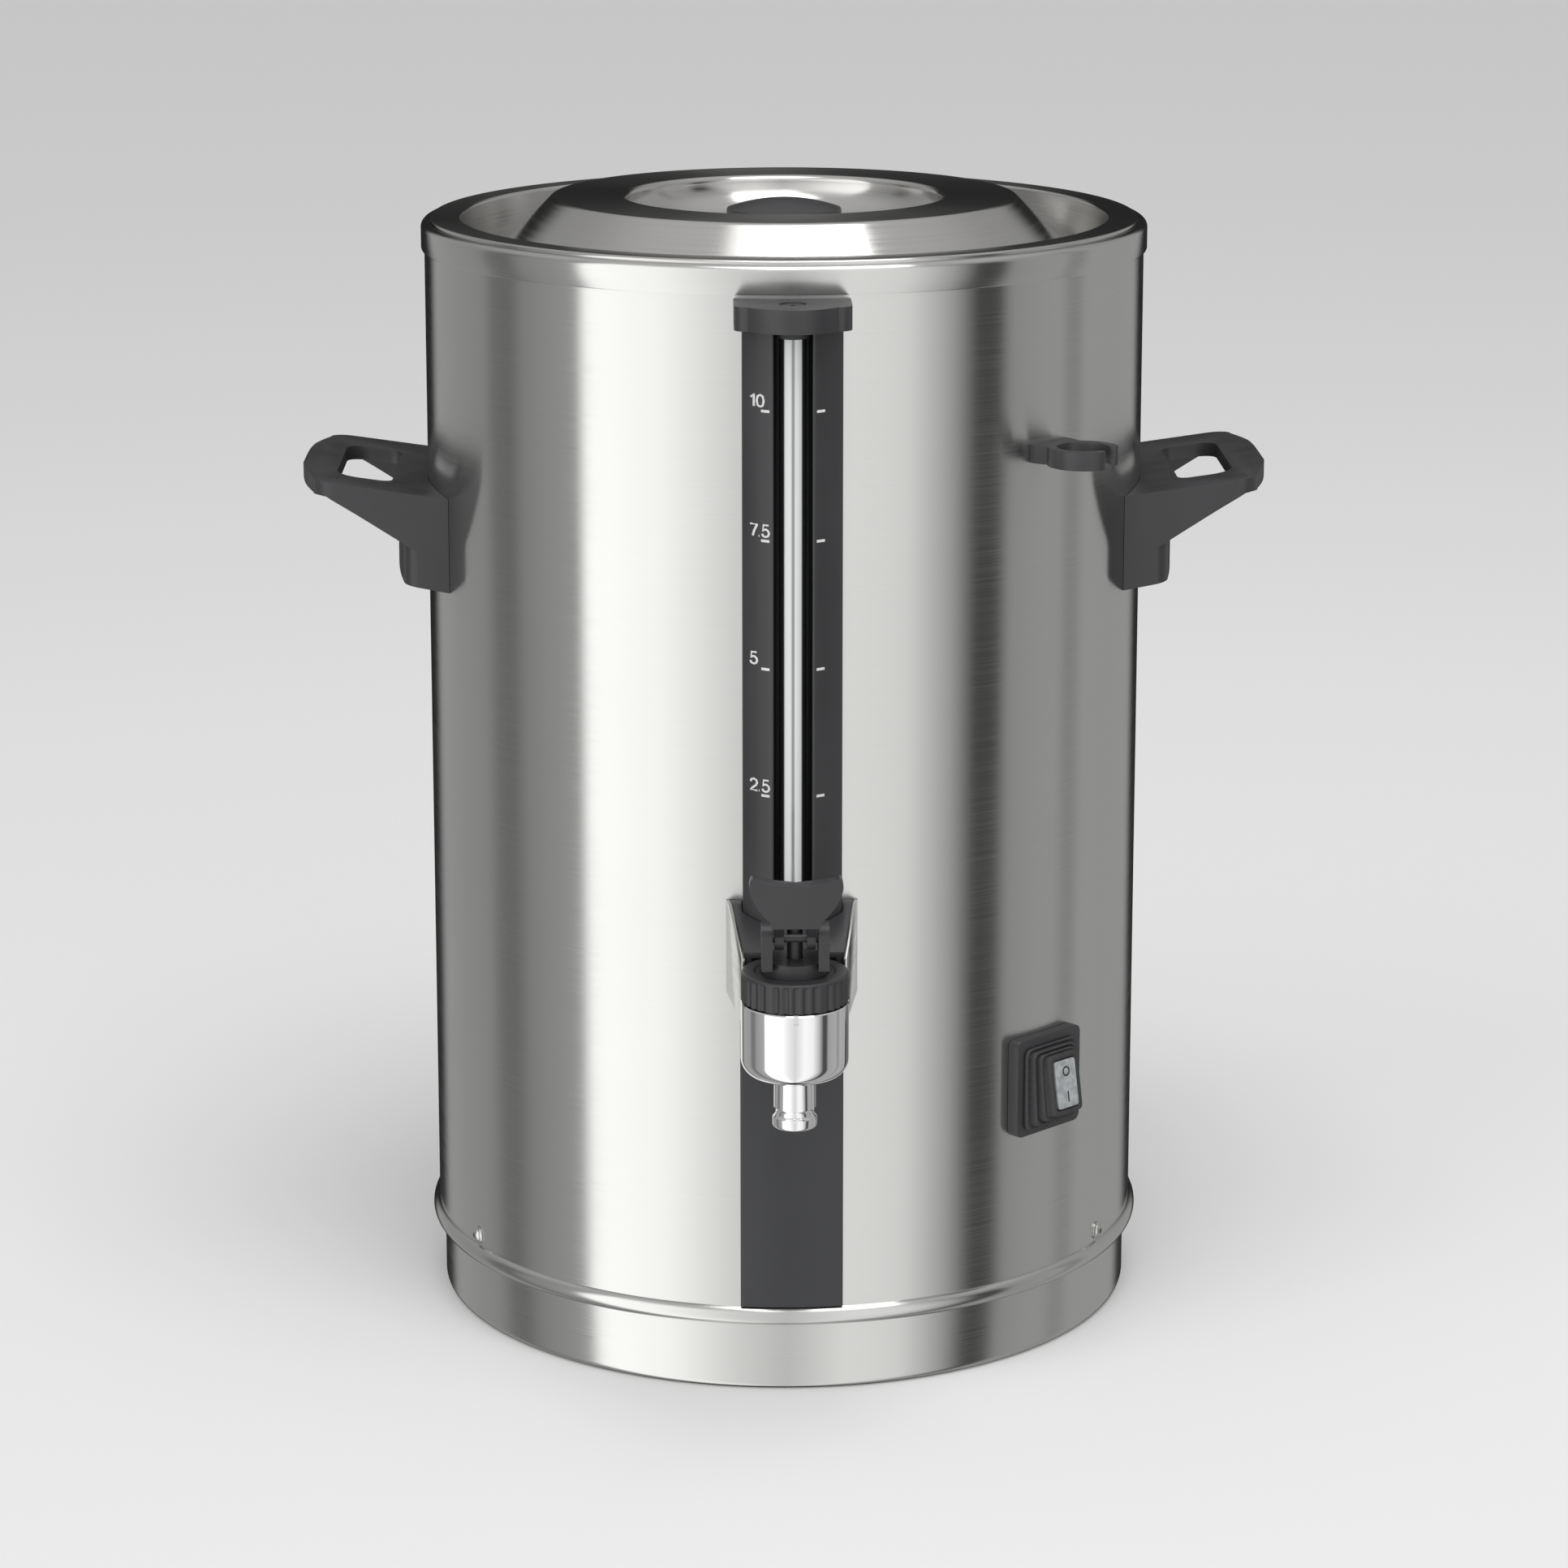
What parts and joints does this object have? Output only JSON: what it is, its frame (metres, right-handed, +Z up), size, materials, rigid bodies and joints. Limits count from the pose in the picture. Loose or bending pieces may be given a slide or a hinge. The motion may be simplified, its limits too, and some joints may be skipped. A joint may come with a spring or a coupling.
{
  "type": "heated drinks container",
  "caption": "Double-walled steel drinks container, electrically heated, with lift-off lid, front level gauge, lever tap, side handles and booted rocker switch.",
  "frame": {"origin": "on the drum's axis, in the plane of the base tray's flat underside", "axes": "+Z up along the drum's axis, -Y towards the tap and level gauge, +X towards the switch side"},
  "size_m": [0.384, 0.3612, 0.447],
  "materials": {
    "brushed_steel": "fine horizontal brushing",
    "lid_steel": "spun and polished satin",
    "polished_steel": "polished",
    "tap_chrome": "mirror chrome plate",
    "black_plastic": "fine moulded grain",
    "black_rubber": "matt",
    "red_rubber": "matt silicone",
    "clear_glass": "clear",
    "lamp_window": "translucent",
    "aluminium": "as cast",
    "brass": "plain",
    "wool": "felted",
    "ceramic": "glazed",
    "screw_steel": "zinc plated"
  },
  "bodies": {
    "root": {"base_screw_1": "screw_steel", "base_screw_2": "screw_steel", "base_screw_3": "screw_steel", "base_tray": "brushed_steel", "bonnet": "black_plastic", "clip_screw": "screw_steel", "handle_left": "black_plastic", "handle_right": "black_plastic", "handle_screw_left_1": "screw_steel", "handle_screw_left_2": "screw_steel", "handle_screw_right_1": "screw_steel", "handle_screw_right_2": "screw_steel", "heater_clamp": "screw_steel", "heater_element": "screw_steel", "heater_nut": "screw_steel", "heater_plate": "aluminium", "inlet_pin_earth": "brass", "inlet_pin_live": "brass", "inlet_pin_neutral": "brass", "inlet_socket": "black_plastic", "inner_vessel": "brushed_steel", "insulation_sleeve": "wool", "lever_pin": "black_plastic", "lower_strip": "black_plastic", "outer_jacket": "brushed_steel", "outlet_pipe": "brushed_steel", "outlet_sleeve": "red_rubber", "rim_collar": "brushed_steel", "ring_nut": "black_plastic", "side_clip": "black_plastic", "sight_bottom_seal": "black_rubber", "sight_cap": "black_plastic", "sight_channel": "black_plastic", "sight_socket": "black_plastic", "sight_top_seal": "black_rubber", "sight_tube": "clear_glass", "switch_boot": "black_rubber", "switch_frame": "black_plastic", "tap_body": "tap_chrome", "tap_gasket": "red_rubber", "tap_lock_nut": "brass", "tap_shroud": "polished_steel", "tap_spring": "screw_steel", "terminal_block": "ceramic", "thermal_cutout": "ceramic", "thermostat": "black_plastic"},
    "lid": {"lid_shell": "lid_steel", "lid_knob": "black_plastic", "lid_knob_screw": "screw_steel"},
    "lever": {"tap_lever": "black_plastic"},
    "stem": {"tap_stem": "black_plastic", "seat_cup": "red_rubber"},
    "rocker": {"switch_rocker": "black_plastic", "switch_window": "lamp_window"}
  },
  "joints": [
    {"name": "lid_lift", "type": "slide", "parent": "root", "child": "lid", "axis": [0, 0, 1], "range_m": [0, 0.06]},
    {"name": "tap_lever_tilt", "type": "hinge", "parent": "root", "child": "lever", "pos_m": [0, -0.196, 0.198], "axis": [1, 0, 0], "range_deg": [0, 35], "stiffness_Nm_per_rad": 0.25, "springref_deg": -5.73},
    {"name": "tap_stem_lift", "type": "slide", "parent": "root", "child": "stem", "axis": [0, 0, 1], "range_m": [0, 0.00344], "deforming": ["tap_spring"]},
    {"name": "switch_rock", "type": "hinge", "parent": "root", "child": "rocker", "pos_m": [0.09887, -0.10419, 0.11246], "axis": [0.7254, 0.6884, 0], "range_deg": [0, 17.2], "deforming": ["switch_boot"]}
  ],
  "couplings": [
    {"joint": "tap_lever_tilt", "follows": "tap_stem_lift", "rad_per_m": 177}
  ]
}
